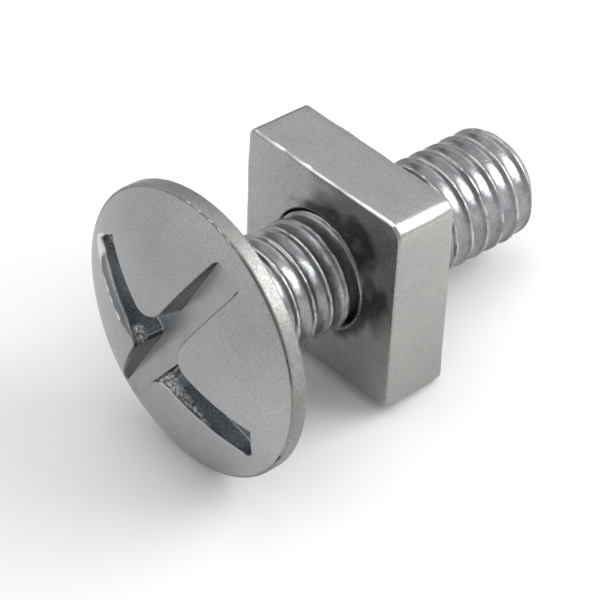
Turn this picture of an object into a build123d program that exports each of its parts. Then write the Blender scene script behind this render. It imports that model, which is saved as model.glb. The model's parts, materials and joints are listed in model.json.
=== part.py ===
from build123d import *
import os
from math import asin, atan2, cos, degrees, hypot, sin

# An M6 roofing bolt: a mushroom head with a punched cross recess, a rolled thread right up to
# the head, and a thin square nut run part of the way on. It lies as it comes to rest, on the
# rim of the head and on one edge of the nut. Sizes are in millimetres.
#
# The row frame: z = 0 is the surface it lies on, +X runs along the bolt towards its end, and the
# origin is the middle of the footprint. The bolt's own axis dips towards the end.

# Thread, over its crests
thread_diameter = 5.85
thread_pitch = 1.0
bolt_length = 19.0
point_chamfer = 0.75

# Head: a flat bearing face, a short upright rim and a domed top
head_diameter = 14.5
rim_height = 0.75
dome_height = 2.25
rim_edge = 0.12
neck_fillet = 0.15

# Cross recess, flat-floored and square to the axis, so that it runs out towards the rim
recess_depth = 1.74
recess_span = 12.5
slot_width = 1.62
slot_draft = 2.0
recess_corner = 1.0
recess_turn = -30.7

# Square nut
nut_width = 10.5
nut_thickness = 3.5
nut_corner = 0.5
nut_edge = 0.15
nut_clearance = 0.05
nut_countersink = 0.35

# Where the nut stands: whole turns from the head, and the air left when it seats there
turns_to_seat = 7
seat_clearance = 0.02

thread_radius = thread_diameter / 2
head_radius = head_diameter / 2
head_height = rim_height + dome_height
point_radius = thread_radius - point_chamfer
dome_radius = (head_radius**2 + dome_height**2) / (2 * dome_height)
dome_half_angle = degrees(asin(head_radius / dome_radius))
nut_gap = turns_to_seat * thread_pitch + seat_clearance
bore_radius = thread_radius + nut_clearance

# The surface touches the rounded back edge of the rim and the rounded far edge of the nut. The
# slope of the line through the centres of the two arcs gives the dip, less what the arcs differ.
touch_reach = nut_gap + nut_thickness - nut_edge + rim_edge
touch_drop = (head_radius - rim_edge) - (nut_width / 2 - nut_edge)
dip = atan2(touch_drop, touch_reach) + asin((rim_edge - nut_edge) / hypot(touch_reach, touch_drop))

# The centre of the bearing face, at the height that sets the rim on the surface and midway
# between the dome's foremost point and the upper corner of the end
dome_front = (dome_radius - head_height) * cos(dip) - dome_radius
end_front = bolt_length * cos(dip) + point_radius * sin(dip)
seat_x = -(dome_front + end_front) / 2
seat_z = rim_edge - rim_edge * sin(dip) + (head_radius - rim_edge) * cos(dip)

along = Vector(cos(dip), 0, -sin(dip))
upward = Vector(sin(dip), 0, cos(dip))
seat = Vector(seat_x, 0, seat_z)

# Planes and axis that both pieces are set out from
bolt_axis = Axis(seat, along)
section = Plane(origin=seat, x_dir=along, z_dir=(0, -1, 0))
recess_floor = Plane(origin=seat - along * (head_height - recess_depth), x_dir=upward, z_dir=-along)
nut_face = Plane(origin=seat + along * nut_gap, x_dir=upward, z_dir=along)


def around(part, radius):
    """The part's circular edges of this radius."""
    circles = part.edges().filter_by(GeomType.CIRCLE)
    return circles.filter_by(lambda edge: abs(edge.radius - radius) < 1e-4)


# Bolt: one forged and rolled piece, turned from half its section
with BuildPart() as bolt:
    with BuildSketch(section):
        with BuildLine():
            CenterArc((dome_radius - head_height, 0), dome_radius, 180, -dome_half_angle)
            Polyline(
                (-rim_height, head_radius),
                (0, head_radius),
                (0, thread_radius),
                (bolt_length - point_chamfer, thread_radius),
                (bolt_length, point_radius),
                (bolt_length, 0),
                (-head_height, 0),
            )
        make_face()
    revolve(axis=bolt_axis)
    fillet(around(bolt.part, head_radius), rim_edge)
    fillet(around(bolt.part, thread_radius).sort_by(bolt_axis)[0], neck_fillet)

    # The punch leaves a flat floor, slightly drafted walls and rounded inner corners
    with BuildSketch(recess_floor) as cross:
        Rectangle(recess_span, slot_width, rotation=recess_turn)
        Rectangle(slot_width, recess_span, rotation=recess_turn)
        fillet(cross.vertices().sort_by_distance((0, 0, 0))[:4], recess_corner)
    extrude(amount=recess_depth + rim_height, taper=-slot_draft, mode=Mode.SUBTRACT)

bolt.part.label = "bolt"

# Square nut: pressed from bar, with rounded corners, rolled edges and a countersunk bore
with BuildPart() as nut:
    with BuildSketch(nut_face):
        RectangleRounded(nut_width, nut_width, nut_corner)
        Circle(bore_radius, mode=Mode.SUBTRACT)
    extrude(amount=nut_thickness)
    chamfer(around(nut.part, bore_radius), nut_countersink)
    ends = nut.faces().filter_by(bolt_axis)
    fillet([edge for face in ends for edge in face.outer_wire().edges()], nut_edge)

nut.part.label = "square_nut"

os.makedirs("parts", exist_ok=True)
export_step(bolt.part, "parts/bolt.step")
export_step(nut.part, "parts/square_nut.step")
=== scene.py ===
import json
import math

import bmesh
import bpy
from mathutils import Matrix, Vector, noise


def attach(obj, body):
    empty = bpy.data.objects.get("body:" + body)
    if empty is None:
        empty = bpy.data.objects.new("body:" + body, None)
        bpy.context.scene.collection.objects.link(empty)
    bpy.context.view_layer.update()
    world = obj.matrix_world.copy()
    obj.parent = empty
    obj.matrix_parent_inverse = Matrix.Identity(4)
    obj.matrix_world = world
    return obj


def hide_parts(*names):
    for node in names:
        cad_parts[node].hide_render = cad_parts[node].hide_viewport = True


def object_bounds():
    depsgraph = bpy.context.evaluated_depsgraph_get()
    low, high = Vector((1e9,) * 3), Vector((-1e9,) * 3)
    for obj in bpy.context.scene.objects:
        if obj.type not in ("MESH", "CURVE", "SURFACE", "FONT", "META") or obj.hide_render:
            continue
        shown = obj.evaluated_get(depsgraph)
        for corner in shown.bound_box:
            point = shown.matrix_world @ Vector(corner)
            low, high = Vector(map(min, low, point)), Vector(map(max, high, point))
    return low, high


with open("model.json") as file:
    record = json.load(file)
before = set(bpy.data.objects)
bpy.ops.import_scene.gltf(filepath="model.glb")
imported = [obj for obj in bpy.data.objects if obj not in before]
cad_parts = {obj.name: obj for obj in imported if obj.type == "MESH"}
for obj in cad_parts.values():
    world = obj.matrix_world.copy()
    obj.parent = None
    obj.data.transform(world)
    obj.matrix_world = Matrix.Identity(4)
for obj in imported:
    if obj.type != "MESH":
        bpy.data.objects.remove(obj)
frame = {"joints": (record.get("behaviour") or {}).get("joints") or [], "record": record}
cad_low, cad_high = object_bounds()

# A roofing bolt and its square nut, bright zinc plated. The pieces are shaped in millimetres in
# the bolt's own frame: x runs along its axis from the head's bearing face towards the end, y is
# the row's own y, and z points away from the surface. Then they are laid where the frame says.
#
# A pair of numbers for smooth_step gives where something starts and where it is full. A pair of
# strengths gives how much wear and painted light there is on average, and how much more or less
# its patches make it.

MM = 0.001

# How close two vertices lie that are one, and how many steps make a quarter turn of a rounded edge
same_place = 0.004
quarter_steps = 4

# Thread: a narrow crest with a rolling seam along it, short steep flanks and a wide, shallow root
crest_radius = 2.925
pitch = 1.0
bolt_length = 19.0
end_radius = 2.175
end_softening = 0.12
point_slope = math.radians(45)
point_steps = 3
first_crest = 0.86
flank_angle = math.radians(30)
crest_flat = 0.02
crest_round = 0.06
root_round = 1.6
root_turn = math.radians(10)
root_corner = 0.12
seam_half_width = 0.02
seam_depth = 0.014
crest_depth = 1.3 * seam_depth
crest_dent = 0.04
steps_round = 108
arc_steps = 2
spare_turns = 2

# Neck, where the thread runs out under the head
neck_radius = 2.69
neck_round = 0.15
neck_margin = 0.6
runout_start = 0.16
runout_end = 0.5

# Head
head_radius = 7.25
rim_height = 0.75
dome_height = 2.25
rim_edge = 0.12
head_height = rim_height + dome_height
dome_radius = (head_radius**2 + dome_height**2) / (2 * dome_height)
edge_cuts = 144
edge_merge = 0.04
bearing_rings = 3

# Punched cross recess: a flat floor and almost upright walls. Its arms lie along the plan's own
# two directions, p and q, and its inner corners are listed round from the one between +p and +q,
# with their radii at the mouth and at the foot of the wall. The grid bends less and less inwards
# from a corner, between the two shares of the slot's half width in corner_fade.
recess_depth = 1.74
recess_half_span = 6.25
slot_half_width = 0.85
recess_turn = math.radians(-30.7)
corner_mouths = (1.2, 0.45, 0.95, 1.2)
corner_feet = (0.5, 0.35, 0.12, 0.5)
corner_fade = (-0.85, -0.4)
mouth_round = 0.06
foot_round = 0.04
round_share = 0.45
wall_draft = math.tan(math.radians(2))
foot_start = mouth_round + wall_draft * (recess_depth - mouth_round - foot_round)

# The grid that the head's top is made from: its cells from the middle outwards, and the turns of
# the rounds at the mouth and at the foot, in degrees
slot_cells = 5
arm_cells = 36
edge_cells = 6
cell_growth = 1.4
grid_margin = 0.15
wall_rows = 12
mouth_turns = (20, 40, 65, 90)
foot_turns = (0, 45, 90)
end_margin = 0.12

# What a worn punch made of the recess: the slot along q is off square, cut askew at both ends and
# falls away there, and one of its mouth edges is drawn into a wide lip with a burr on it. The burr
# and the lip's tip are burnished bright, which also paints a highlight on them. Pairs are distances
# from the middle.
slot_skew = math.tan(math.radians(2.1))
skew_growth = (0.9, 2)
end_slant = 0.46
end_reach = 0.1
slant_start = 3.5
end_fall = 0.4
fall_start = 3
slot_wear_fade = (1.3, 3.2)
lip_width = 0.28
lip_growth = (0.9, 2.4)
lip_end = 6.9
lip_fade = (1, 2.4)
lip_tip = (5, 5.6)
burr_height = 0.05
burr_fade = 1.8
tip_fade = 0.6

# Some of the walls tore, to this depth. Feet and tops are heights over the bearing face, and starts
# and ends are distances along q.
torn_depth = 0.06
tear_start = (0.7, 0.95)
long_tear_foot = (2.05, 2.25)
long_tear_end = (4.8, 4)
short_tear_foot = (2, 2.2)
short_tear_top = (2.8, 2.6)
short_tear_end = (1.9, 1.4)

# The head's front edge: a burr along one stretch of it, a groove along the next and pits further
# on. The groove and the pits are also darkened as painted shade, and the burr is burnished bright,
# which also paints a highlight on it. Each is given by its ends, as angles round the head from +p
# towards +q.
crease_radius = 7.11
groove_places = (0.02, 0.05)
crease_groove = 0.1
crease_burr = 0.06
crease_fade = math.radians(8)
burr_ends = (math.radians(4), math.radians(40))
groove_ends = (math.radians(-52), math.radians(6))
pitted_ends = (math.radians(-115), math.radians(-62))
groove_variation = 0.3
pit_contrast = 3

# Square nut. One corner is softer than the others, and its outer parts are a little wavy.
nut_start = 7.02
nut_thickness = 3.5
nut_width = 10.5
nut_corner = 0.5
nut_corner_steps = 8
soft_corner = 0.85
soft_corner_steps = 12
nut_edge = 0.2
nut_waviness = 0.03
wavy_from = (3.6, 4.8)
waves_per_mm = 0.9
wave_shifts = (0, 20, 40)
side_cuts = 19
length_cuts = 5
face_rings = 8
bore_mouth = 3.09
bore_lip = 0.02
mouth_margin = 0.1
nut_minor_radius = 2.76
thread_clearance = 0.05

# Painted light on the nut's front, as far behind it as front_depth. A painted dark reflection of the
# shank lies round the bore, darkest towards its angle, which is measured from +y to z, with a
# thin ring of painted shade round the bore's mouth. Spreads are angles away from there, and reaches
# are distances from the bolt's axis. The upper edge has a painted highlight, as burnished metal.
front_depth = 0.12
dark_reflection_angle = math.radians(140)
dark_reflection_spread = (math.radians(85), math.radians(20))
dark_reflection_reach = (5.5, 4.3)
bore_shade_spread = (math.radians(125), math.radians(90))
bore_shade_reach = (3.9, 3.3)
# The painted highlight along the upper front edge, as burnished metal
highlight_band_share = 0.3
highlight_patch_weight = 0.6

# Two marks, kept on the vertices from 0 to 1: torn metal, which also carries painted shade and
# painted dark reflections, and burnished metal, which also carries painted highlights
torn_and_shade_wear = "torn_and_shade"
burnish_and_highlight_wear = "burnish_and_highlight"

# How strong the patchy wear and painted light are, as pairs of an average and a contrast
# Painted shade in the thread's seam, and burnished crests that also paint a highlight
seam_shade = (0.65, -1.5)
crest_burnish_and_highlight = (0.75, 1.3)
# The burnished lip, which also paints a highlight
lip_burnish_and_highlight = (0.7, 1.4)
# The burnished burr on the head's edge, which also paints a highlight
edge_burnish_and_highlight = (0.4, 2)
# The painted dark reflection and shade on the nut's front
dark_reflection_strength = (0.75, 1)
crest_dented = (0, 2)

# How patchy it is: large patches to a millimetre, small ones, how much the small ones count, and
# how far from the large ones they are read, so that the two don't keep in step
crest_patches = (1.5, 7, 0.7, (0, 0, 0))
lip_patches = (2.2, 7, 0.5, (0, 3, 0))
edge_patches = (2.5, 6, 1, (30, 0, 0))
tear_patches = (3, 9, 1, (0, 0, 0))
highlight_patches = (1.3, 4, 2 / 3, (0, 0, 0))
dark_reflection_patches = (0.8, 2.2, 0.6, (0, 0, 0))
grooves_per_mm = 2
dents_per_mm = 1.1
dent_shift = Vector((0, 0, 40))
tears_per_mm = 9
tear_shift = Vector((9, 0, 0))

# The finishes by their places in the bolt's and the nut's lists of materials. A face that is given
# none keeps the first, which is the head's or the nut's.
on_recess, on_thread, on_arm, on_rim, on_end, on_shaded_slot = range(1, 7)
on_bore = 1

mounts = {mount["name"]: mount for mount in frame["record"]["mounts"]}
along = Vector(frame["joints"][0]["axis"]).normalized()
side = Vector((0, 1, 0))
upward = along.cross(side)
seat = Vector(mounts["drive_recess"]["pos_m"]) + along * head_height * MM
lie = Matrix((along, side, upward)).transposed().to_4x4()
bolt_to_row = Matrix.Translation(seat) @ lie @ Matrix.Scale(MM, 4)


def mesh_with_wear_and_painted_light():
    """An empty mesh that keeps its wear, and the painted shade and highlights that go with it."""
    bm = bmesh.new()
    bm.verts.layers.float.new(torn_and_shade_wear)
    bm.verts.layers.float.new(burnish_and_highlight_wear)
    return bm


def edges_among(verts):
    """The edges that run between these vertices, in an order that stays the same from run to run."""
    chosen = set(verts)
    edges = dict.fromkeys(edge for vert in verts for edge in vert.link_edges)
    return [edge for edge in edges if chosen.issuperset(edge.verts)]


def open_edges(bm, x=None):
    """The mesh's open edges, or those of them that lie at this x."""
    found = [edge for edge in bm.edges if edge.is_boundary]
    if x is None:
        return found
    return [edge for edge in found if all(abs(vert.co.x - x) < same_place for vert in edge.verts)]


def next_ring(bm, loop, shape):
    """Extrudes a loop of edges once. shape gives each new vertex its place from its old one."""
    made = bmesh.ops.extrude_edge_only(bm, edges=loop)["geom"]
    verts = [item for item in made if isinstance(item, bmesh.types.BMVert)]
    for vert in verts:
        vert.co = shape(vert.co)
        for wear in bm.verts.layers.float.values():
            vert[wear] = 0
    return edges_among(verts)


def circle_at(x, radius):
    """For next_ring: a circle of this radius round the bolt's axis."""

    def shape(co):
        scale = radius / math.hypot(co.y, co.z)
        return Vector((x, co.y * scale, co.z * scale))

    return shape


def quarter_turns():
    """The steps of a quarter turn, from 0."""
    return [math.pi / 2 * step / quarter_steps for step in range(quarter_steps + 1)]


def cap(bm, loop):
    """Closes a round loop with a fan of triangles to its middle."""
    made = bmesh.ops.extrude_edge_only(bm, edges=loop)["geom"]
    verts = [item for item in made if isinstance(item, bmesh.types.BMVert)]
    middle = sum((vert.co for vert in verts), Vector()) / len(verts)
    bmesh.ops.pointmerge(bm, verts=verts, merge_co=middle)


def slice_off(bm, place, outward):
    """Cuts the mesh by the plane at place and drops what lies on its outward side."""
    everything = [*bm.verts, *bm.edges, *bm.faces]
    bmesh.ops.bisect_plane(
        bm, geom=everything, dist=same_place / 4, plane_co=place, plane_no=outward, clear_outer=True
    )


def clamp(value):
    """The value, kept from 0 to 1."""
    return min(1, max(0, value))


def smooth_step(low, high, value):
    """Rises from 0 to 1 between low and high, or falls where high is the lower."""
    share = clamp((value - low) / (high - low))
    return share * share * (3 - 2 * share)


def patchy(place, patches):
    """Noise in large and small patches at this place, about 0 on average."""
    large, small, small_share, shift = patches
    return noise.noise(place * large) + small_share * noise.noise(place * small + Vector(shift))


def wear_and_painted_light_at(strength, patch):
    """A share from 0 to 1 for wear and for painted light, of this strength, where the patches have this
    value.
    """
    average, contrast = strength
    return clamp(average + contrast * patch)


def join(bm, other):
    """Adds another bmesh to this one."""
    mesh = bpy.data.meshes.new("joined")
    other.to_mesh(mesh)
    other.free()
    bm.from_mesh(mesh)
    bpy.data.meshes.remove(mesh)


def finish_piece(bm, name, body, node, materials):
    """Lays the mesh in the row frame and makes it a piece that stands for a CAD node."""
    bmesh.ops.recalc_face_normals(bm, faces=bm.faces)
    bmesh.ops.transform(bm, matrix=bolt_to_row, verts=bm.verts)
    for face in bm.faces:
        face.smooth = True
    mesh = bpy.data.meshes.new(name)
    bm.to_mesh(mesh)
    bm.free()
    for material in materials:
        mesh.materials.append(material)
    piece = bpy.data.objects.new(name, mesh)
    bpy.context.scene.collection.objects.link(piece)
    even = piece.modifiers.new("flat faces stay flat", "WEIGHTED_NORMAL")
    even.mode = "FACE_AREA"
    even.weight = 60
    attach(piece, body)
    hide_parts(node)
    return piece


# The rolled thread

def crest_half():
    """The crest's form from its seam to the flank, as x and depth below the crest."""
    points = [(0, seam_depth), (seam_half_width, 0)]
    lean = math.pi / 2 - flank_angle
    crest_end = seam_half_width + crest_flat / 2
    for step in range(arc_steps + 1):
        turn = lean * step / arc_steps
        points.append((crest_end + crest_round * math.sin(turn), crest_round * (1 - math.cos(turn))))
    return points


def rolled_half():
    """The thread's form from a crest to the next root, as x and depth below the crest."""
    points = crest_half()
    lean = math.pi / 2 - flank_angle
    corner_x = pitch / 2 - root_round * math.sin(root_turn)
    foot_x = corner_x - root_corner * (math.sin(lean) - math.sin(root_turn))
    flank_x, flank_depth = points[-1]
    depth = flank_depth + (foot_x - flank_x) / math.tan(flank_angle)
    for step in range(arc_steps + 1):
        turn = lean + (root_turn - lean) * step / arc_steps
        x = corner_x - root_corner * (math.sin(turn) - math.sin(root_turn))
        points.append((x, depth + root_corner * (math.cos(turn) - math.cos(lean))))
    depth = points[-1][1]
    for step in range(1, arc_steps + 1):
        turn = root_turn * (1 - step / arc_steps)
        x = pitch / 2 - root_round * math.sin(turn)
        points.append((x, depth + root_round * (math.cos(turn) - math.cos(root_turn))))
    return points


def tapped_half():
    """The nut's form over the same half pitch, clear of the bolt's flank, as x and radius."""
    flank_x, flank_depth = crest_half()[-1]
    flank_x += thread_clearance / math.cos(flank_angle)
    flank_radius = crest_radius - flank_depth
    root = crest_radius + thread_clearance
    root_x = flank_x - (root - flank_radius) * math.tan(flank_angle)
    crest_x = flank_x + (flank_radius - nut_minor_radius) * math.tan(flank_angle)
    return [(0, root), (root_x, root), (crest_x, nut_minor_radius), (pitch / 2, nut_minor_radius)]


def helix(bm, half, start, turns):
    """Spins one pitch of thread once round the axis, right-handed, from its half form as x and
    radius, and repeats that turn along the axis."""
    form = half + [(pitch - x, radius) for x, radius in reversed(half[:-1])]
    verts = [bm.verts.new((start + x, radius, 0)) for x, radius in form]
    edges = [bm.edges.new(pair) for pair in zip(verts, verts[1:])]
    bmesh.ops.spin(
        bm,
        geom=verts + edges,
        cent=(0, 0, 0),
        axis=(1, 0, 0),
        dvec=(pitch / steps_round, 0, 0),
        angle=2 * math.pi,
        steps=steps_round,
        use_merge=False,
    )
    one_turn = [*bm.verts, *bm.edges, *bm.faces]
    for turn in range(1, turns):
        made = bmesh.ops.duplicate(bm, geom=one_turn)["geom"]
        moved = [item for item in made if isinstance(item, bmesh.types.BMVert)]
        bmesh.ops.translate(bm, vec=(pitch * turn, 0, 0), verts=moved)
    bmesh.ops.remove_doubles(bm, verts=bm.verts, dist=same_place)


def set_radii(bm, radius_at):
    """Moves every vertex in or out, to the radius that radius_at gives for its x and radius."""
    for vert in bm.verts:
        old = math.hypot(vert.co.y, vert.co.z)
        scale = radius_at(vert.co.x, old) / old
        vert.co.y *= scale
        vert.co.z *= scale


def shank():
    """The threaded shank, open where its rounded neck meets the head's bearing face."""
    bm = mesh_with_wear_and_painted_light()
    half = [(x, crest_radius - depth) for x, depth in rolled_half()]
    turns = math.ceil(bolt_length / pitch) + spare_turns + 1
    helix(bm, half, first_crest - spare_turns * pitch, turns)

    def radius_at(x, radius):
        radius = neck_radius + (radius - neck_radius) * smooth_step(runout_start, runout_end, x)
        return min(radius, end_radius + max(0, bolt_length - x))

    set_radii(bm, radius_at)
    end_cut = bolt_length - end_softening * (1 - math.cos(point_slope))
    slice_off(bm, (end_cut, 0, 0), (1, 0, 0))
    slice_off(bm, (runout_start, 0, 0), (-1, 0, 0))

    loop = open_edges(bm, end_cut)
    arc_x = bolt_length - end_softening
    arc_radius = end_radius - end_softening * (1 / math.cos(point_slope) - 1)
    for step in reversed(range(point_steps)):
        turn = point_slope * step / point_steps
        place = arc_x + end_softening * math.cos(turn)
        loop = next_ring(bm, loop, circle_at(place, arc_radius + end_softening * math.sin(turn)))
    loop = next_ring(bm, loop, circle_at(bolt_length, end_radius / 2))
    cap(bm, loop)

    loop = open_edges(bm, runout_start)
    for turn in quarter_turns():
        radius = neck_radius + neck_round * (1 - math.cos(turn))
        loop = next_ring(bm, loop, circle_at(neck_round * (1 - math.sin(turn)), radius))
    point_start = bolt_length - (crest_radius - end_radius)
    for face in bm.faces:
        face.material_index = on_end if face.calc_center_median().x > point_start else on_thread
    wear_crests_and_paint_light(bm)
    return bm


def wear_crests_and_paint_light(bm):
    """Darkens the seam along the crests in patches as painted shade, brightens the crests beside it in
    the other patches as burnished metal with a painted highlight, and dents them a little."""
    torn_and_shade = bm.verts.layers.float[torn_and_shade_wear]
    burnish_and_highlight = bm.verts.layers.float[burnish_and_highlight_wear]
    for vert in bm.verts:
        if math.hypot(vert.co.y, vert.co.z) < crest_radius - crest_depth:
            continue
        turn = math.atan2(vert.co.z, vert.co.y) / (2 * math.pi)
        beside_seam = (vert.co.x - first_crest - pitch * turn + pitch / 2) % pitch - pitch / 2
        patch = patchy(vert.co, crest_patches)
        # The seam is darkened as painted shade, and the crests beside it are burnished bright, which also
        # paints their highlight.
        if abs(beside_seam) < seam_half_width / 2:
            vert[torn_and_shade] = wear_and_painted_light_at(seam_shade, patch)
        else:
            vert[burnish_and_highlight] = wear_and_painted_light_at(crest_burnish_and_highlight, patch)
        dent = crest_dent * wear_and_painted_light_at(crest_dented, noise.noise(vert.co * dents_per_mm + dent_shift))
        vert.co = circle_at(vert.co.x, math.hypot(vert.co.y, vert.co.z) - dent)(vert.co)


# The head

def dome(radius):
    """The dome's height over the bearing face at this distance from the axis."""
    return math.sqrt(dome_radius**2 - radius**2) - dome_radius + head_height


def inside_cross(p, q):
    """How far inside the recess's mouth a point of the plan lies."""
    outline = slot_half_width + mouth_round
    span = recess_half_span + mouth_round
    slot_along_p = min(span - abs(p), outline - abs(q))
    slot_along_q = min(outline - abs(p), span - abs(q))
    return max(slot_along_p, slot_along_q)


def round_corner(a, b, outline, corner):
    """Bends the lines that turn at an inner corner of the cross into arcs. a and b are positive."""
    near, far = sorted((a - outline, b - outline))
    if far >= corner:
        return a, b
    bend = corner - near
    turn = math.pi / 4 * (1 - (far - near) / bend)
    share = smooth_step(*(edge * outline for edge in corner_fade), near)
    near += (corner - bend * math.cos(turn) - near) * share
    far += (corner - bend * math.sin(turn) - far) * share
    return (outline + far, outline + near) if a >= b else (outline + near, outline + far)


def worn(p, q, openness):
    """Where a point of the true cross lies in the worn one. openness is 1 at the mouth's edge and
    outside it, and 0 from the straight wall inwards."""
    span = recess_half_span + mouth_round
    beside = 1 - smooth_step(*slot_wear_fade, abs(p))
    at_end = smooth_step(slant_start, span, abs(q)) * (1 - smooth_step(span, head_radius, abs(q)))
    askew = end_slant * (p + slot_half_width) - end_reach
    new_q = q - math.copysign(askew, q) * at_end * beside
    new_p = p - slot_skew * q * smooth_step(*skew_growth, abs(q)) * beside
    if p < 0 < q:
        new_p -= lip_at(q) * openness * (1 - smooth_step(*lip_fade, -p))
    return new_p, new_q


def lip_at(q):
    """How wide the drawn lip is, along the arm that has it."""
    return lip_width * smooth_step(*lip_growth, q) * (1 - smooth_step(recess_half_span, lip_end, q))


def torn_at(q, height):
    """How torn the walls where p is below 0 are: towards -q their upper part, and towards +q a band
    halfway down that ends near the middle."""
    out = abs(q)
    if q < 0:
        tear = smooth_step(*long_tear_foot, height) * smooth_step(*long_tear_end, out)
    else:
        tear = smooth_step(*short_tear_foot, height) * smooth_step(*short_tear_top, height)
        tear *= smooth_step(*short_tear_end, out)
    return tear * smooth_step(*tear_start, out)


def head_grid():
    """The head's top in plan, with its grid lines along the recess and loops down the walls."""
    bm = mesh_with_wear_and_painted_light()
    outline = slot_half_width + mouth_round
    span = recess_half_span + mouth_round
    reach = head_radius + grid_margin
    cells = 2 * (slot_cells + arm_cells + edge_cells)
    bmesh.ops.create_grid(bm, x_segments=cells, y_segments=cells, size=cells / 2)

    def spread(place):
        """Where a grid line lies, from its number, which counts from the middle."""
        size = abs(place)
        if size <= slot_cells:
            moved = outline * size / slot_cells
        elif size <= slot_cells + arm_cells:
            moved = outline + (span - outline) * ((size - slot_cells) / arm_cells) ** cell_growth
        else:
            moved = span + (reach - span) * (size - slot_cells - arm_cells) / edge_cells
        return math.copysign(moved, place)

    for vert in bm.verts:
        vert.co = Vector((spread(vert.co.x), spread(vert.co.y), 0))
    floor = [face for face in bm.faces if inside_cross(*face.calc_center_median().xy) > 0]
    loops = [mouth_round * math.sin(math.radians(turn)) for turn in mouth_turns]
    loops += [mouth_round + (foot_start - mouth_round) * row / wall_rows for row in range(1, wall_rows)]
    loops += [foot_start + foot_round * (1 - math.cos(math.radians(turn))) for turn in foot_turns]
    before = 0
    for step, loop in enumerate(loops):
        inset = bmesh.ops.inset_region(
            bm, faces=floor, use_boundary=True, use_even_offset=True, thickness=loop - before
        )
        for face in inset["faces"]:
            p, q, _ = face.calc_center_median()
            on_lip = step < len(mouth_turns) and p < 0 < q
            at_slot_end = -q > recess_half_span - end_margin
            # Walls where p outweighs q, the lip and the end at -q take the dark slot finish, which is
            # painted shade.
            face.material_index = on_shaded_slot if abs(p) > abs(q) or on_lip or at_slot_end else on_arm
            if abs(p) > recess_half_span - end_margin:
                face.material_index = on_recess
        before = loop
    for face in floor:
        in_arm = abs(face.calc_center_median().y) > outline
        face.material_index = on_arm if in_arm else on_recess
    return bm


def place_head_verts(bm):
    """Rounds the recess's corners, wears it and raises the plan to the dome, walls and floor."""
    torn_and_shade = bm.verts.layers.float[torn_and_shade_wear]
    burnish_and_highlight = bm.verts.layers.float[burnish_and_highlight_wear]
    outline = slot_half_width + mouth_round
    corner_order = {(True, True): 0, (False, True): 1, (False, False): 2, (True, False): 3}
    for vert in bm.verts:
        p, q = vert.co.x, vert.co.y
        inward = inside_cross(p, q)
        down_mouth = clamp(inward / mouth_round)
        down_wall = clamp((inward - mouth_round) / (foot_start - mouth_round))
        up_foot = clamp((foot_start + foot_round - inward) / foot_round)
        corner = corner_order[p >= 0, q >= 0]
        radius = corner_mouths[corner] + (corner_feet[corner] - corner_mouths[corner]) * down_wall
        a, b = round_corner(abs(p), abs(q), outline, radius)
        p, q = math.copysign(a, p), math.copysign(b, q)
        lip = lip_at(q) if p < 0 < q else 0
        p, q = worn(p, q, 1 - down_mouth)
        top = dome(math.hypot(p, q))
        fall = end_fall * smooth_step(fall_start, recess_half_span, abs(q))
        wall = max(0, recess_depth + fall - (head_height - top))
        mouth = min(mouth_round + lip, round_share * wall)
        foot = min(foot_round, round_share * wall)
        height = top - mouth * (1 - math.sqrt(1 - down_mouth**2))
        height -= (wall - mouth - foot) * down_wall
        height -= foot * math.sqrt(1 - up_foot**2) * (down_wall == 1)
        # The burr and the lip's tip are burnished bright, which also paints a highlight on them.
        if lip and inward > -same_place and down_wall == 0:
            tip = smooth_step(*lip_tip, q) * lip / lip_width
            burr = wear_and_painted_light_at(lip_burnish_and_highlight, patchy(Vector((q, 0, 0)), lip_patches)) * lip / lip_width
            burr = max(tip, burr)
            vert[burnish_and_highlight] = max(burr * (1 - burr_fade * down_mouth), tip * (1 - tip_fade * down_mouth))
            if inward < same_place:
                height += burr_height * burr
        if 0 < down_wall < 1 and p < 0:
            vert[torn_and_shade] = torn_at(q, height)
            rough = torn_depth * vert[torn_and_shade]
            place = Vector((p, q, height))
            p += rough * patchy(place, tear_patches)
            q += rough * noise.noise(place * tears_per_mm + tear_shift)
        vert.co = Vector((p, q, height))


def along_crease(co, ends):
    """How far a place on the head's edge is inside this stretch of it, from 0 to 1."""
    start, end = ends
    angle = math.atan2(co.y, co.z) - recess_turn
    angle = (angle + math.pi) % (2 * math.pi) - math.pi
    return smooth_step(start, start + crease_fade, angle) * smooth_step(end, end - crease_fade, angle)


def crease(bm, loop, cut_radius):
    """The groove, the pits and the burr between the dome and the rim, the groove and the pits darkened as
    painted shade and the burr burnished bright as a painted highlight.
    """
    torn_and_shade = bm.verts.layers.float[torn_and_shade_wear]
    burnish_and_highlight = bm.verts.layers.float[burnish_and_highlight_wear]

    def grooved(co):
        """The share of the groove's depth that the groove and the pits have here, and of their painted
        shade.
        """
        uneven = noise.noise(Vector((0, co.y, co.z)) * grooves_per_mm)
        pits = clamp(pit_contrast * uneven) * along_crease(co, pitted_ends)
        return along_crease(co, groove_ends) * (1 + groove_variation * uneven) + pits

    def burred(co):
        """The share of the burr's height that it has here, and of its burnished painted highlight."""
        patch = patchy(Vector((0, co.y, co.z)), edge_patches)
        return along_crease(co, burr_ends) * wear_and_painted_light_at(edge_burnish_and_highlight, patch)

    def crease_ring(radius, groove, burr):
        """For next_ring: a circle on the dome, sunk by the groove and raised by the burr."""

        def shape(co):
            x, y, z = circle_at(-dome(radius), radius)(co)
            return Vector((x + groove * grooved(co) - burr * burred(co), y, z))

        return shape

    rings = [(crease_radius + place, crease_groove, 0) for place in groove_places]
    rings.append((cut_radius, 0, crease_burr))
    for radius, groove, burr in rings:
        loop = next_ring(bm, loop, crease_ring(radius, groove, burr))
        # The groove and the pits are darkened as painted shade, and the burr burnished bright as a
        # painted highlight.
        for vert in {vert for edge in loop for vert in edge.verts}:
            if groove:
                vert[torn_and_shade] = grooved(vert.co)
            else:
                vert[burnish_and_highlight] = burred(vert.co)
    return loop


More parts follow.
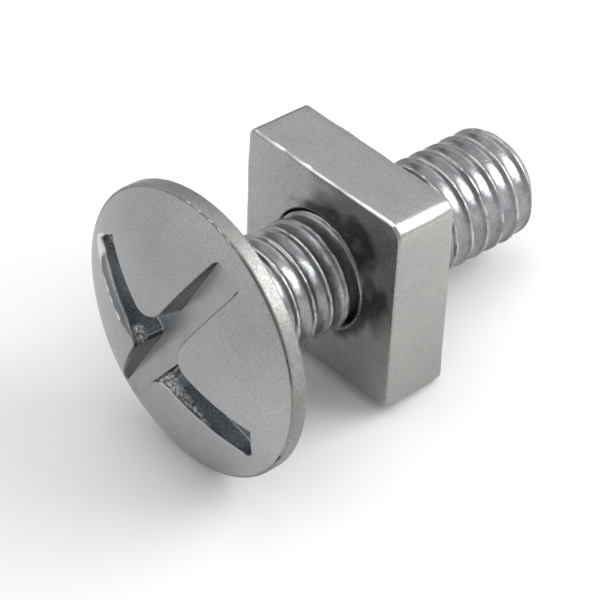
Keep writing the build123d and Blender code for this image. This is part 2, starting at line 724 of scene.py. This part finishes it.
def head():
    """The domed head, open round the neck on its bearing face."""
    bm = head_grid()
    place_head_verts(bm)
    slope = math.asin(head_radius / dome_radius)
    arc_radius = head_radius - rim_edge
    cut_radius = arc_radius + rim_edge * math.sin(slope)
    arc_height = dome(cut_radius) - rim_edge * math.cos(slope)
    for cut in range(edge_cuts):
        turn = 2 * math.pi * cut / edge_cuts
        outward = (math.cos(turn), math.sin(turn), 0)
        slice_off(bm, Vector(outward) * crease_radius, outward)
    edge_verts = list(dict.fromkeys(vert for edge in open_edges(bm) for vert in edge.verts))
    bmesh.ops.remove_doubles(bm, verts=edge_verts, dist=edge_merge)

    cos_turn, sin_turn = math.cos(recess_turn), math.sin(recess_turn)
    stand = Matrix(((0, 0, -1), (sin_turn, cos_turn, 0), (cos_turn, -sin_turn, 0))).to_4x4()
    bmesh.ops.transform(bm, matrix=stand, verts=bm.verts)

    face_of_dome = set(bm.faces)
    loop = open_edges(bm)
    for vert in {vert for edge in loop for vert in edge.verts}:
        vert.co = circle_at(-dome(crease_radius), crease_radius)(vert.co)
    loop = crease(bm, loop, cut_radius)
    for step in range(1, quarter_steps + 1):
        turn = slope + (math.pi / 2 - slope) * step / quarter_steps
        place = circle_at(-arc_height - rim_edge * math.cos(turn), arc_radius + rim_edge * math.sin(turn))
        loop = next_ring(bm, loop, place)
    for turn in quarter_turns():
        place = circle_at(-rim_edge * (1 - math.sin(turn)), arc_radius + rim_edge * math.cos(turn))
        loop = next_ring(bm, loop, place)
    inner_radius = neck_radius + neck_margin
    for step in range(1, bearing_rings + 1):
        radius = arc_radius + (inner_radius - arc_radius) * step / bearing_rings
        loop = next_ring(bm, loop, circle_at(0, radius))
    for face in set(bm.faces) - face_of_dome:
        face.material_index = on_rim
    return bm


def make_bolt(materials):
    """The whole bolt as one closed mesh. The faces of both halves point outwards before the bridge
    between them, because it follows them."""
    bm = head()
    join(bm, shank())
    bmesh.ops.recalc_face_normals(bm, faces=bm.faces)
    bmesh.ops.bridge_loops(bm, edges=open_edges(bm, 0))
    return finish_piece(bm, "forged_bolt", "bolt", "bolt", materials)


# The nut

def nut_bore():
    """The tapped hole with its countersinks, open at both mouths."""
    bm = mesh_with_wear_and_painted_light()
    turns = math.ceil(nut_thickness / pitch) + 2 * spare_turns
    start = first_crest + math.floor(nut_start - first_crest) - spare_turns * pitch
    helix(bm, tapped_half(), start, turns)
    nut_end = nut_start + nut_thickness

    def radius_at(x, radius):
        into = min(x - nut_start, nut_end - x)
        return max(radius, bore_mouth - max(bore_lip, into))

    set_radii(bm, radius_at)
    slice_off(bm, (nut_start + bore_lip, 0, 0), (-1, 0, 0))
    slice_off(bm, (nut_end - bore_lip, 0, 0), (1, 0, 0))
    for x in (nut_start, nut_end):
        inner = nut_start + bore_lip if x == nut_start else nut_end - bore_lip
        next_ring(bm, open_edges(bm, inner), circle_at(x, bore_mouth + bore_lip))
    for face in bm.faces:
        face.material_index = on_bore
    return bm


def nut_shell():
    """The nut's outside with its rolled edges, open round the mouths of the hole."""
    bm = mesh_with_wear_and_painted_light()
    bmesh.ops.create_cube(bm, size=1)
    straight = nut_thickness - 2 * nut_edge
    middle = nut_start + nut_thickness / 2
    bmesh.ops.scale(bm, vec=(straight, nut_width, nut_width), verts=bm.verts)
    bmesh.ops.translate(bm, vec=(middle, 0, 0), verts=bm.verts)
    soft = [edge for edge in bm.edges if all(vert.co.y < 0 < vert.co.z for vert in edge.verts)]
    bmesh.ops.bevel(
        bm,
        geom=soft,
        affect="EDGES",
        offset=soft_corner,
        segments=soft_corner_steps,
        profile=0.5,
        material=-1,
    )
    corners = [
        edge
        for edge in bm.edges
        if abs(edge.verts[0].co.x - edge.verts[1].co.x) > straight / 2
        and all(abs(vert.co.y) + abs(vert.co.z) > nut_width - same_place for vert in edge.verts)
    ]
    bmesh.ops.bevel(
        bm,
        geom=corners,
        affect="EDGES",
        offset=nut_corner,
        segments=nut_corner_steps,
        profile=0.5,
        material=-1,
    )
    ends = [face for face in bm.faces if abs(face.normal.x) > 0.5]
    bmesh.ops.delete(bm, geom=ends, context="FACES_ONLY")
    sides = [edge for edge in bm.edges if edge.is_boundary and edge.calc_length() > nut_width / 2]
    bmesh.ops.subdivide_edges(bm, edges=sides, cuts=side_cuts, use_grid_fill=True)
    lengths = [e for e in bm.edges if abs(e.verts[0].co.x - e.verts[1].co.x) > straight / 2]
    bmesh.ops.subdivide_edges(bm, edges=lengths, cuts=length_cuts, use_grid_fill=True)

    flat = nut_width / 2 - nut_corner

    def drawn_in(x, inset):
        """For next_ring: the nut's outline at this x, smaller by this much all round."""

        def shape(co):
            core = Vector((0, min(flat, max(-flat, co.y)), min(flat, max(-flat, co.z))))
            out = Vector((0, co.y, co.z)) - core
            return Vector((x, 0, 0)) + core + out * (1 - inset / out.length)

        return shape

    def towards_mouth(share):
        """For next_ring: this share of the way to the mouth of the hole."""

        def shape(co):
            mouth = circle_at(co.x, bore_mouth + mouth_margin)(co)
            return co.lerp(mouth, share)

        return shape

    for direction in (-1, 1):
        loop = open_edges(bm, middle + direction * straight / 2)
        before = 0
        for turn in quarter_turns()[1:]:
            inset = nut_edge * (1 - math.cos(turn))
            place = middle + direction * (straight / 2 + nut_edge * math.sin(turn))
            loop = next_ring(bm, loop, drawn_in(place, inset - before))
            before = inset
        for left in range(face_rings, 0, -1):
            loop = next_ring(bm, loop, towards_mouth(1 / left))
    for vert in bm.verts:
        share = nut_waviness * smooth_step(*wavy_from, max(abs(vert.co.y), abs(vert.co.z)))
        place = vert.co * waves_per_mm
        waves = [noise.noise(place + Vector((shift, 0, 0))) for shift in wave_shifts]
        vert.co += Vector(waves) * share
        vert.co.x = min(nut_start + nut_thickness, max(nut_start, vert.co.x))
    return bm


def paint_light_on_nut_front(bm):
    """Darkens the nut's front with a painted dark reflection of the shank in patches to one side of
    the bore and a thin ring of painted shade round it, and brightens its upper front edge with a
    painted highlight, as burnished metal, most at the soft corner."""
    torn_and_shade = bm.verts.layers.float[torn_and_shade_wear]
    burnish_and_highlight = bm.verts.layers.float[burnish_and_highlight_wear]
    half_width = nut_width / 2
    for vert in bm.verts:
        if vert.co.x > nut_start + front_depth:
            continue
        # A painted highlight along the upper front edge, as burnished metal, strongest towards the soft
        # corner.
        edge_highlight = smooth_step(half_width - nut_edge, half_width - highlight_band_share * nut_edge, vert.co.z)
        if edge_highlight and vert.co.x > nut_start:
            share = smooth_step(nut_width, -half_width, vert.co.y)
            patch = highlight_patch_weight * patchy(vert.co, highlight_patches)
            vert[burnish_and_highlight] = clamp(edge_highlight * (share + patch))
        # A painted dark reflection of the shank to one side of the bore, and a thin ring of painted shade
        # round it.
        out = math.hypot(vert.co.y, vert.co.z)
        away = abs(math.atan2(vert.co.z, vert.co.y) - dark_reflection_angle)
        away = min(away, 2 * math.pi - away)
        dark_reflection = smooth_step(*dark_reflection_spread, away) * smooth_step(*dark_reflection_reach, out)
        bore_shade = smooth_step(*bore_shade_spread, away) * smooth_step(*bore_shade_reach, out)
        average, contrast = dark_reflection_strength
        cloud = average + contrast * patchy(vert.co, dark_reflection_patches)
        vert[torn_and_shade] = clamp(max(dark_reflection, bore_shade) * cloud)


def make_nut(materials):
    """The whole nut as one closed mesh."""
    bm = nut_shell()
    join(bm, nut_bore())
    for x in (nut_start, nut_start + nut_thickness):
        bmesh.ops.bridge_loops(bm, edges=open_edges(bm, x))
    paint_light_on_nut_front(bm)
    return finish_piece(bm, "tapped_square_nut", "nut", "square_nut", materials)


# Zinc plate. Pairs give the noise or the wear at which a mask starts and is full.
drift_mask = (0.35, 0.65)
grain_mask = (0.36, 0.64)
speck_mask = (0.38, 0.68)
torn_and_shade_mask = (0.2, 0.8)
burnish_and_highlight_mask = (0.3, 0.7)
torn_roughness = 0.35
burnished_roughness = 0.3
black = (0, 0, 0, 1)


def plate_group():
    """Fine grain, drifting tone, shallow waves, wear, painted shade and painted highlights, for every
    plated surface.
    """
    group = bpy.data.node_groups.new("zinc plate", "ShaderNodeTree")
    sockets = (
        ("Tone", "NodeSocketColor", (0.5, 0.5, 0.5, 1)),
        ("Drift tone", "NodeSocketColor", (0.4, 0.4, 0.4, 1)),
        ("Drift size mm", "NodeSocketFloat", 2.0),
        ("Grain size mm", "NodeSocketFloat", 0.1),
        ("Grain height mm", "NodeSocketFloat", 0.004),
        ("Grain depth", "NodeSocketFloat", 0.2),
        ("Wave size mm", "NodeSocketFloat", 1.5),
        ("Wave height mm", "NodeSocketFloat", 0.01),
        ("Smooth", "NodeSocketFloat", 0.25),
        ("Rough", "NodeSocketFloat", 0.4),
        ("Torn and shade dark", "NodeSocketColor", (0.15, 0.15, 0.15, 1)),
        ("Torn and shade light", "NodeSocketColor", (0.8, 0.8, 0.78, 1)),
        ("Torn height mm", "NodeSocketFloat", 0.03),
        ("Bare metal and highlight", "NodeSocketColor", (0.86, 0.86, 0.84, 1)),
    )
    for name, kind, value in sockets:
        group.interface.new_socket(name, in_out="INPUT", socket_type=kind).default_value = value
    group.interface.new_socket("Colour", in_out="OUTPUT", socket_type="NodeSocketColor")
    group.interface.new_socket("Roughness", in_out="OUTPUT", socket_type="NodeSocketFloat")
    group.interface.new_socket("Normal", in_out="OUTPUT", socket_type="NodeSocketVector")
    nodes, links = group.nodes, group.links
    given = nodes.new("NodeGroupInput").outputs
    result = nodes.new("NodeGroupOutput").inputs
    place = nodes.new("ShaderNodeTexCoord").outputs["Object"]

    def calculate(operation, first, second):
        """A number from two others. Each is a socket or a plain value."""
        node = nodes.new("ShaderNodeMath")
        node.operation = operation
        for socket, value in zip(node.inputs, (first, second)):
            if isinstance(value, (int, float)):
                socket.default_value = value
            else:
                links.new(value, socket)
        return node.outputs[0]

    def texture(size, detail, roughness):
        """Noise of a size that is given in millimetres."""
        node = nodes.new("ShaderNodeTexNoise")
        node.inputs["Detail"].default_value = detail
        node.inputs["Roughness"].default_value = roughness
        links.new(place, node.inputs["Vector"])
        links.new(calculate("DIVIDE", 1 / MM, given[size]), node.inputs["Scale"])
        return node.outputs["Fac"]

    def bump(height, height_mm, normal):
        """A normal raised by this height, on top of another normal if one is given."""
        node = nodes.new("ShaderNodeBump")
        links.new(calculate("MULTIPLY", height_mm, MM), node.inputs["Distance"])
        links.new(height, node.inputs["Height"])
        if normal:
            links.new(normal, node.inputs["Normal"])
        return node.outputs["Normal"]

    def mask(value, edges):
        """0 at the first edge and below it, and 1 at the second and above it."""
        node = nodes.new("ShaderNodeMapRange")
        node.inputs["From Min"].default_value, node.inputs["From Max"].default_value = edges
        links.new(value, node.inputs["Value"])
        return node.outputs["Result"]

    def vertex_wear_and_painted_light(name, edges):
        """One kind of wear, together with the painted light it carries, read from the vertices as a mask.
        """
        node = nodes.new("ShaderNodeAttribute")
        node.attribute_name = name
        return mask(node.outputs["Fac"], edges)

    def mix(kind, factor, first, second):
        """A blend of two colours or two numbers. Each is a socket or a plain value."""
        node = nodes.new("ShaderNodeMix")
        node.data_type = kind
        chosen = [socket for socket in node.inputs if socket.enabled]
        links.new(factor, chosen[0])
        for socket, value in zip(chosen[-2:], (first, second)):
            if isinstance(value, (float, tuple)):
                socket.default_value = value
            else:
                links.new(value, socket)
        return next(socket for socket in node.outputs if socket.enabled)

    drift = texture("Drift size mm", detail=4, roughness=0.6)
    grain = texture("Grain size mm", detail=2, roughness=0.6)
    wave = texture("Wave size mm", detail=2, roughness=0.5)
    specks = mask(texture("Grain size mm", detail=3, roughness=0.6), speck_mask)
    # The torn mask also carries painted shade and painted dark reflections.
    torn_and_shade = vertex_wear_and_painted_light(torn_and_shade_wear, torn_and_shade_mask)
    # The burnished mask also carries painted highlights.
    burnish_and_highlight = vertex_wear_and_painted_light(burnish_and_highlight_wear, burnish_and_highlight_mask)

    tone = mix("RGBA", mask(drift, drift_mask), given["Tone"], given["Drift tone"])
    torn_and_shade_tone = mix("RGBA", specks, given["Torn and shade dark"], given["Torn and shade light"])
    shade = calculate("MULTIPLY", mask(grain, grain_mask), given["Grain depth"])
    tone = mix("RGBA", shade, tone, black)
    tone = mix("RGBA", torn_and_shade, tone, torn_and_shade_tone)
    tone = mix("RGBA", burnish_and_highlight, tone, given["Bare metal and highlight"])
    links.new(tone, result["Colour"])

    finish = mix("FLOAT", grain, given["Smooth"], given["Rough"])
    finish = mix("FLOAT", torn_and_shade, finish, torn_roughness)
    finish = mix("FLOAT", burnish_and_highlight, finish, burnished_roughness)
    links.new(finish, result["Roughness"])

    torn_height = calculate("MULTIPLY", torn_and_shade, given["Torn height mm"])
    waves = bump(wave, given["Wave height mm"], None)
    grains = bump(grain, given["Grain height mm"], waves)
    links.new(bump(specks, torn_height, grains), result["Normal"])
    return group


plate = plate_group()


def plated(name, tone, drift_tone, smooth, rough, grain, wave, torn_and_shade=None, torn_height=0.03, bare_and_highlight=None):
    """A zinc plated finish. grain and wave are each a size and a height in millimetres, and grain
    then gives how far it darkens the tone. The torn tones are a dark and a light one, for torn metal
    and for painted shade and dark reflections, and the bare tone is that of burnished metal and of
    painted highlights."""
    material = bpy.data.materials.new(name)
    material.use_nodes = True
    nodes, links = material.node_tree.nodes, material.node_tree.links
    shader = nodes["Principled BSDF"]
    shader.inputs["Metallic"].default_value = 1
    surface = nodes.new("ShaderNodeGroup")
    surface.node_tree = plate
    surface.inputs["Tone"].default_value = (*tone, 1)
    surface.inputs["Drift tone"].default_value = (*drift_tone, 1)
    surface.inputs["Smooth"].default_value = smooth
    surface.inputs["Rough"].default_value = rough
    names = ("Grain size mm", "Grain height mm", "Grain depth", "Wave size mm", "Wave height mm")
    for socket, value in zip(names, grain + wave):
        surface.inputs[socket].default_value = value
    surface.inputs["Torn height mm"].default_value = torn_height
    if torn_and_shade:
        surface.inputs["Torn and shade dark"].default_value = (*torn_and_shade[0], 1)
        surface.inputs["Torn and shade light"].default_value = (*torn_and_shade[1], 1)
    if bare_and_highlight:
        surface.inputs["Bare metal and highlight"].default_value = (*bare_and_highlight, 1)
    links.new(surface.outputs["Colour"], shader.inputs["Base Color"])
    links.new(surface.outputs["Roughness"], shader.inputs["Roughness"])
    links.new(surface.outputs["Normal"], shader.inputs["Normal"])
    return material


head_plate = plated(
    "plated head",
    tone=(0.44, 0.442, 0.45),
    drift_tone=(0.41, 0.41, 0.415),
    smooth=0.34,
    rough=0.46,
    grain=(0.085, 0.005, 0.2),
    wave=(1.6, 0.004),
)
recess_plate = plated(
    "punched recess",
    tone=(0.44, 0.446, 0.455),
    drift_tone=(0.38, 0.388, 0.396),
    smooth=0.24,
    rough=0.38,
    grain=(0.09, 0.005, 0.16),
    wave=(0.8, 0.008),
)
# Its torn tones paint shade into the crests' seam, and its bare tone brightens the crests as burnished
# metal, which also paints their highlight.
thread_plate = plated(
    "rolled thread",
    tone=(0.36, 0.368, 0.38),
    drift_tone=(0.22, 0.227, 0.237),
    smooth=0.24,
    rough=0.34,
    grain=(0.1, 0.0015, 0.2),
    wave=(0.5, 0.026),
    torn_and_shade=((0.1, 0.1, 0.1), (0.34, 0.34, 0.33)),
    torn_height=0.01,
    bare_and_highlight=(0.52, 0.51, 0.475),
)
arm_plate = plated(
    "torn arm walls",
    tone=(0.52, 0.54, 0.56),
    drift_tone=(0.42, 0.44, 0.46),
    smooth=0.2,
    rough=0.32,
    grain=(0.16, 0.004, 0.2),
    wave=(0.5, 0.008),
    torn_and_shade=((0.22, 0.22, 0.22), (0.9, 0.9, 0.88)),
)
# Its torn tones paint shade into the groove and the pits along the head's edge.
rim_plate = plated(
    "rolled rim",
    tone=(0.32, 0.32, 0.312),
    drift_tone=(0.27, 0.27, 0.258),
    smooth=0.42,
    rough=0.56,
    grain=(0.12, 0.008, 0.2),
    wave=(1.2, 0.012),
    torn_and_shade=((0.04, 0.04, 0.04), (0.1, 0.1, 0.1)),
)
end_plate = plated(
    "sheared end",
    tone=(0.32, 0.32, 0.31),
    drift_tone=(0.22, 0.22, 0.22),
    smooth=0.34,
    rough=0.5,
    grain=(0.15, 0.01, 0.2),
    wave=(0.6, 0.03),
)
# A dark tone that paints shade into the slot walls.
shaded_slot_plate = plated(
    "slot walls with painted shade",
    tone=(0.22, 0.228, 0.238),
    drift_tone=(0.17, 0.178, 0.186),
    smooth=0.26,
    rough=0.4,
    grain=(0.12, 0.006, 0.2),
    wave=(0.6, 0.008),
)
# Its torn tones paint the dark reflection of the shank and the shade round the bore.
nut_plate = plated(
    "plated nut",
    tone=(0.44, 0.435, 0.422),
    drift_tone=(0.41, 0.406, 0.395),
    smooth=0.22,
    rough=0.36,
    grain=(0.075, 0.0025, 0.27),
    wave=(1.8, 0.012),
    torn_and_shade=((0.05, 0.055, 0.052), (0.16, 0.165, 0.16)),
    torn_height=0.003,
)
bore_plate = plated(
    "tapped bore",
    tone=(0.34, 0.34, 0.35),
    drift_tone=(0.24, 0.24, 0.25),
    smooth=0.28,
    rough=0.4,
    grain=(0.1, 0.004, 0.2),
    wave=(0.8, 0.008),
)

make_bolt([head_plate, recess_plate, thread_plate, arm_plate, rim_plate, end_plate, shaded_slot_plate])
make_nut([nut_plate, bore_plate])


# Floor, light and camera

# The camera's place round the object, in degrees and millimetres, and its angle of view
photo_side = 600
camera_bearing = math.radians(35.52)
camera_height = math.radians(44.49)
camera_roll = math.radians(-8.38)
camera_distance = 134.92
camera_target = Vector((-2.673, -0.483, 5.219)) * MM
focal_pixels = 2888
gaze = Vector(
    (
        math.sin(camera_bearing) * math.cos(camera_height),
        math.cos(camera_bearing) * math.cos(camera_height),
        -math.sin(camera_height),
    )
)
middle_height = Vector((0, 0, (cad_low.z + cad_high.z) / 2))


def make_camera():
    """The camera, at the photo's viewing angle."""
    camera = bpy.data.objects.new("camera", bpy.data.cameras.new("camera"))
    bpy.context.scene.collection.objects.link(camera)
    camera.location = camera_target - gaze * camera_distance * MM
    aim = gaze.to_track_quat("-Z", "Y").to_matrix() @ Matrix.Rotation(camera_roll, 3, "Z")
    camera.rotation_euler = aim.to_euler()
    camera.data.lens = camera.data.sensor_width * focal_pixels / photo_side
    camera.data.clip_start = 0.01
    camera.data.clip_end = 10
    return camera


def make_floor():
    """A plain pale floor, three metres across."""
    bm = bmesh.new()
    bmesh.ops.create_grid(bm, x_segments=1, y_segments=1, size=1.5)
    mesh = bpy.data.meshes.new("floor")
    bm.to_mesh(mesh)
    bm.free()
    floor = bpy.data.objects.new("floor", mesh)
    bpy.context.scene.collection.objects.link(floor)
    material = bpy.data.materials.new("pale floor")
    material.use_nodes = True
    shader = material.node_tree.nodes["Principled BSDF"]
    shader.inputs["Base Color"].default_value = (0.8, 0.8, 0.8, 1)
    shader.inputs["Roughness"].default_value = 0.9
    shader.inputs["Specular IOR Level"].default_value = 0.1
    mesh.materials.append(material)


def make_light(name, direction, distance, width, height, radiance):
    """A softbox at this distance in millimetres that faces the object."""
    light = bpy.data.lights.new(name, "AREA")
    light.shape = "RECTANGLE"
    light.size = width * MM
    light.size_y = height * MM
    light.energy = radiance * math.pi * light.size * light.size_y
    lamp = bpy.data.objects.new(name, light)
    away = Vector(direction).normalized()
    lamp.location = middle_height + away * distance * MM
    lamp.rotation_euler = away.to_track_quat("Z", "Y").to_euler()
    bpy.context.scene.collection.objects.link(lamp)


def make_world():
    """Soft light from above, dimmer near the horizon, round the camera and low behind the object."""
    world = bpy.data.worlds.new("studio")
    world.use_nodes = True
    nodes, links = world.node_tree.nodes, world.node_tree.links
    direction = nodes.new("ShaderNodeTexCoord").outputs["Generated"]

    def fade(aim, outside, inside, outside_strength, inside_strength):
        """A strength that changes as a direction turns towards aim. outside and inside are the
        cosines of its angle with aim where the change starts and ends."""
        toward = nodes.new("ShaderNodeVectorMath")
        toward.operation = "DOT_PRODUCT"
        toward.inputs[1].default_value = aim
        links.new(direction, toward.inputs[0])
        node = nodes.new("ShaderNodeMapRange")
        node.interpolation_type = "SMOOTHSTEP"
        node.inputs["From Min"].default_value = outside
        node.inputs["From Max"].default_value = inside
        node.inputs["To Min"].default_value = outside_strength
        node.inputs["To Max"].default_value = inside_strength
        links.new(toward.outputs["Value"], node.inputs["Value"])
        return node.outputs["Result"]

    def patch(aim, outer_degrees, inner_degrees, strength):
        """A darker patch of sky round aim."""
        outer = math.cos(math.radians(outer_degrees))
        inner = math.cos(math.radians(inner_degrees))
        return fade(aim, outer, inner, outside_strength=1, inside_strength=strength)

    def times(first, second):
        """The product of two strengths."""
        node = nodes.new("ShaderNodeMath")
        node.operation = "MULTIPLY"
        links.new(first, node.inputs[0])
        links.new(second, node.inputs[1])
        return node.outputs[0]

    sky = fade((0, 0, 1), outside=-0.05, inside=0.45, outside_strength=0.66, inside_strength=1)
    round_camera = patch(-gaze, outer_degrees=42, inner_degrees=14, strength=0.5)
    low_behind = patch((0.55, 0.835, 0.013), outer_degrees=26, inner_degrees=8, strength=0.3)
    links.new(times(times(sky, round_camera), low_behind), nodes["Background"].inputs["Strength"])
    nodes["Background"].inputs["Color"].default_value = (1, 1, 1, 1)
    bpy.context.scene.world = world


make_floor()
make_light("key softbox", (0.65, -0.53, 0.54), distance=110, width=78, height=70, radiance=6)
make_light("back softbox", (-0.1, 0.6, 0.8), distance=120, width=50, height=40, radiance=0.8)
make_light("top softbox", (0.1, 0.1, 1), distance=200, width=110, height=110, radiance=1.5)
bpy.context.scene.camera = make_camera()
make_world()
bpy.context.scene.view_settings.view_transform = "Standard"
